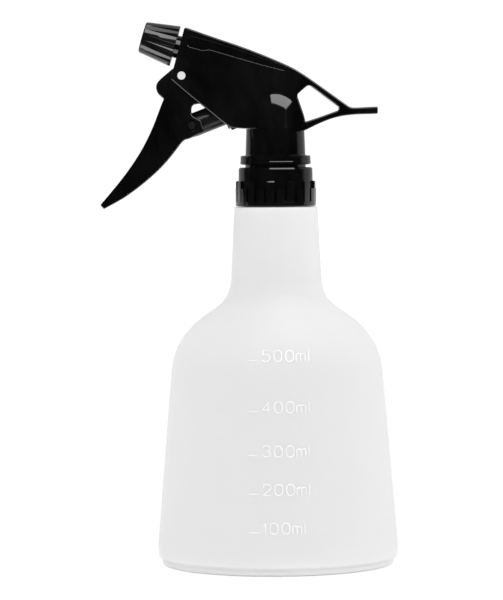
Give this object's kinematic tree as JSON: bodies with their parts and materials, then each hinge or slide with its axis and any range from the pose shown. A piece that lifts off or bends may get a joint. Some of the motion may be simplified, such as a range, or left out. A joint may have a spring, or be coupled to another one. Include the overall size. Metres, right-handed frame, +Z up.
{
  "type": "hand mister",
  "caption": "Trigger spray bottle: wide translucent bottle with raised volume marks, screw collar, lever pump head with hanging loop, and an adjustable fluted nozzle.",
  "frame": {"origin": "centre of the bottle's standing ring, on the surface it stands on", "axes": "+Z up along the bottle's axis, -X the way the nozzle sprays, +X towards the tail loop, +Y across the head"},
  "size_m": [0.1178, 0.0962, 0.217],
  "materials": {
    "natural_polyethylene": "translucent natural polyethylene, satin blown skin",
    "black_polypropylene": "glossy moulded black",
    "black_piston_plastic": "polished black rod",
    "dark_grey_nozzle_plastic": "semi-gloss dark grey, fluted",
    "natural_pin_plastic": "natural white moulded",
    "dip_tube_plastic": "clear flexible tube",
    "white_foam_seal": "closed-cell foam seal",
    "seal_rubber": "black rubber",
    "spring_steel": "drawn stainless wire",
    "valve_ball_steel": "polished ball"
  },
  "bodies": {
    "bottle": {"bottle": "natural_polyethylene"},
    "gasket": {"neck_gasket": "white_foam_seal"},
    "collar": {"screw_collar": "black_polypropylene"},
    "head": {"pump_body": "black_polypropylene", "shroud": "black_polypropylene", "trigger_pivot_pin": "natural_pin_plastic", "tube_holder": "natural_pin_plastic", "dip_tube": "dip_tube_plastic", "dip_tube_strainer": "natural_pin_plastic", "return_spring": "spring_steel", "outlet_spring": "spring_steel", "swirl_core": "natural_pin_plastic"},
    "trigger": {"trigger": "black_polypropylene"},
    "piston": {"piston": "black_piston_plastic", "piston_cup_seal": "seal_rubber", "piston_vent_ring": "seal_rubber"},
    "nozzle_slider": {"nozzle_o_ring": "seal_rubber"},
    "nozzle": {"nozzle_cap": "dark_grey_nozzle_plastic"},
    "inlet_valve_ball": {"inlet_ball": "valve_ball_steel"},
    "outlet_valve_ball": {"outlet_ball": "valve_ball_steel"}
  },
  "joints": [
    {"name": "head_lift", "type": "slide", "parent": "bottle", "child": "gasket", "axis": [0, 0, 1], "range_m": [0, 0.00634]},
    {"name": "collar_turn", "type": "hinge", "parent": "gasket", "child": "collar", "pos_m": [0, 0, 0.151], "axis": [0, 0, 1], "range_deg": [0, 540]},
    {"name": "head_swivel", "type": "hinge", "parent": "gasket", "child": "head", "pos_m": [0, 0, 0.1562], "axis": [0, 0, 1], "continuous": true},
    {"name": "trigger_pull", "type": "hinge", "parent": "head", "child": "trigger", "pos_m": [-0.03715, 0, 0.1955], "axis": [0, -1, 0], "range_deg": [0, 20], "stiffness_Nm_per_rad": 0.4, "springref_deg": -22.92},
    {"name": "piston_stroke", "type": "slide", "parent": "head", "child": "piston", "axis": [0.933, 0, 0.36], "range_m": [0, 0.00702], "deforming": ["return_spring"]},
    {"name": "nozzle_advance", "type": "slide", "parent": "head", "child": "nozzle_slider", "axis": [-0.96, 0, 0.28], "range_m": [-0.0012, 0.0016]},
    {"name": "nozzle_turn", "type": "hinge", "parent": "nozzle_slider", "child": "nozzle", "pos_m": [-0.03974, 0, 0.20733], "axis": [-0.96, 0, 0.28], "range_deg": [-271, 361]},
    {"name": "inlet_ball_lift", "type": "slide", "parent": "head", "child": "inlet_valve_ball", "axis": [0, 0, 1], "range_m": [0, 0.0015]},
    {"name": "outlet_ball_lift", "type": "slide", "parent": "head", "child": "outlet_valve_ball", "axis": [-0.96, 0, 0.28], "range_m": [0, 0.001], "stiffness_N_per_m": 50, "springref_m": -0.002, "deforming": ["outlet_spring"]}
  ],
  "couplings": [
    {"joint": "collar_turn", "follows": "head_lift", "rad_per_m": 1484.3},
    {"joint": "trigger_pull", "follows": "piston_stroke", "rad_per_m": 49.709},
    {"joint": "nozzle_turn", "follows": "nozzle_advance", "rad_per_m": 3927}
  ]
}
